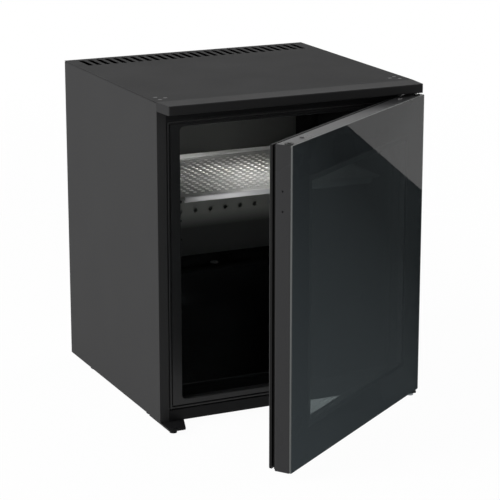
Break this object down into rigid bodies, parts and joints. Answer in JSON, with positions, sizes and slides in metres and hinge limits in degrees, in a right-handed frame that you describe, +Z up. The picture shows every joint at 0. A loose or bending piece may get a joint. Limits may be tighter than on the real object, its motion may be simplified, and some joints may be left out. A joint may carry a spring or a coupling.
{
  "type": "built-in glass-door fridge",
  "caption": "Built-in minibar fridge: painted steel cabinet with overhanging header, smoked glass door on side pivots, perforated shelf and rear cooling unit",
  "frame": {"origin": "on the floor, under the middle of the cabinet", "axes": "+Z up, the front faces -Y, +X to the right as seen from the front"},
  "size_m": [0.4935, 0.7621, 0.58],
  "materials": {
    "cabinet_paint": "satin",
    "dark_paint": "satin",
    "zinc_steel": "satin",
    "foam": "matte",
    "black_liner": "satin",
    "black_trim": "matte",
    "grey_plastic": "matte",
    "pale_lens": "satin",
    "cold_plate": "satin",
    "shelf_steel": "satin",
    "smoked_glass": "gloss",
    "clear_glass": "gloss",
    "door_profile": "satin",
    "nylon": "matte",
    "spacer": "satin",
    "black_rubber": "matte",
    "magnet": "matte",
    "copper": "satin"
  },
  "bodies": {
    "cabinet": {"side_panel_left": "cabinet_paint", "side_panel_right": "cabinet_paint", "top_panel": "cabinet_paint", "front_top_rail": "dark_paint", "base_pan": "dark_paint", "upper_hinge_left": "dark_paint", "upper_hinge_right": "dark_paint", "lower_hinge_left": "dark_paint", "lower_hinge_right": "dark_paint", "compressor": "dark_paint", "condenser": "dark_paint", "rear_partition": "zinc_steel", "compressor_plate": "zinc_steel", "upper_pivot_pin": "zinc_steel", "lower_pivot_pin": "zinc_steel", "upper_hinge_screws": "zinc_steel", "lower_hinge_screws": "zinc_steel", "insulation": "foam", "inner_liner": "black_liner", "front_frame": "black_liner", "header_trim": "black_trim", "terminal_cover": "black_trim", "control_box": "black_trim", "power_inlet": "black_trim", "pivot_plug": "black_trim", "foot_front_left": "black_trim", "foot_front_right": "black_trim", "foot_rear_left": "black_trim", "foot_rear_right": "black_trim", "rear_air_panel": "grey_plastic", "lamp_housing": "grey_plastic", "condenser_brackets": "grey_plastic", "drip_tray": "grey_plastic", "drain_tube": "grey_plastic", "lamp_lens": "pale_lens", "evaporator": "cold_plate", "compressor_grommets": "black_rubber", "filter_dryer": "copper", "discharge_tube": "copper", "suction_tube": "copper", "capillary_tube": "copper"},
    "door": {"door_glass": "smoked_glass", "stile_hinge": "door_profile", "stile_free": "door_profile", "rail_top": "door_profile", "rail_bottom": "door_profile", "corner_keys": "nylon", "inner_glass": "clear_glass", "glazing_spacer": "spacer", "glazing_bead": "black_rubber", "gasket": "black_rubber", "gasket_magnets": "magnet", "pivot_bush_top": "nylon", "pivot_bush_bottom": "nylon", "spare_bushes": "nylon", "door_screws": "zinc_steel"},
    "shelf_tray": {"shelf": "shelf_steel"},
    "dial": {"thermostat_knob": "grey_plastic"}
  },
  "joints": [
    {"name": "door_hinge", "type": "hinge", "parent": "cabinet", "child": "door", "pos_m": [0.234, -0.254, 0.29], "axis": [0, 0, 1], "range_deg": [-35.5, 74.5]},
    {"name": "shelf_slide", "type": "slide", "parent": "cabinet", "child": "shelf_tray", "axis": [0, -1, 0], "range_m": [0, 0.03]},
    {"name": "thermostat_turn", "type": "hinge", "parent": "cabinet", "child": "dial", "pos_m": [0.048, -0.1115, 0.5243], "axis": [0, -1, 0], "range_deg": [0, 270]}
  ]
}
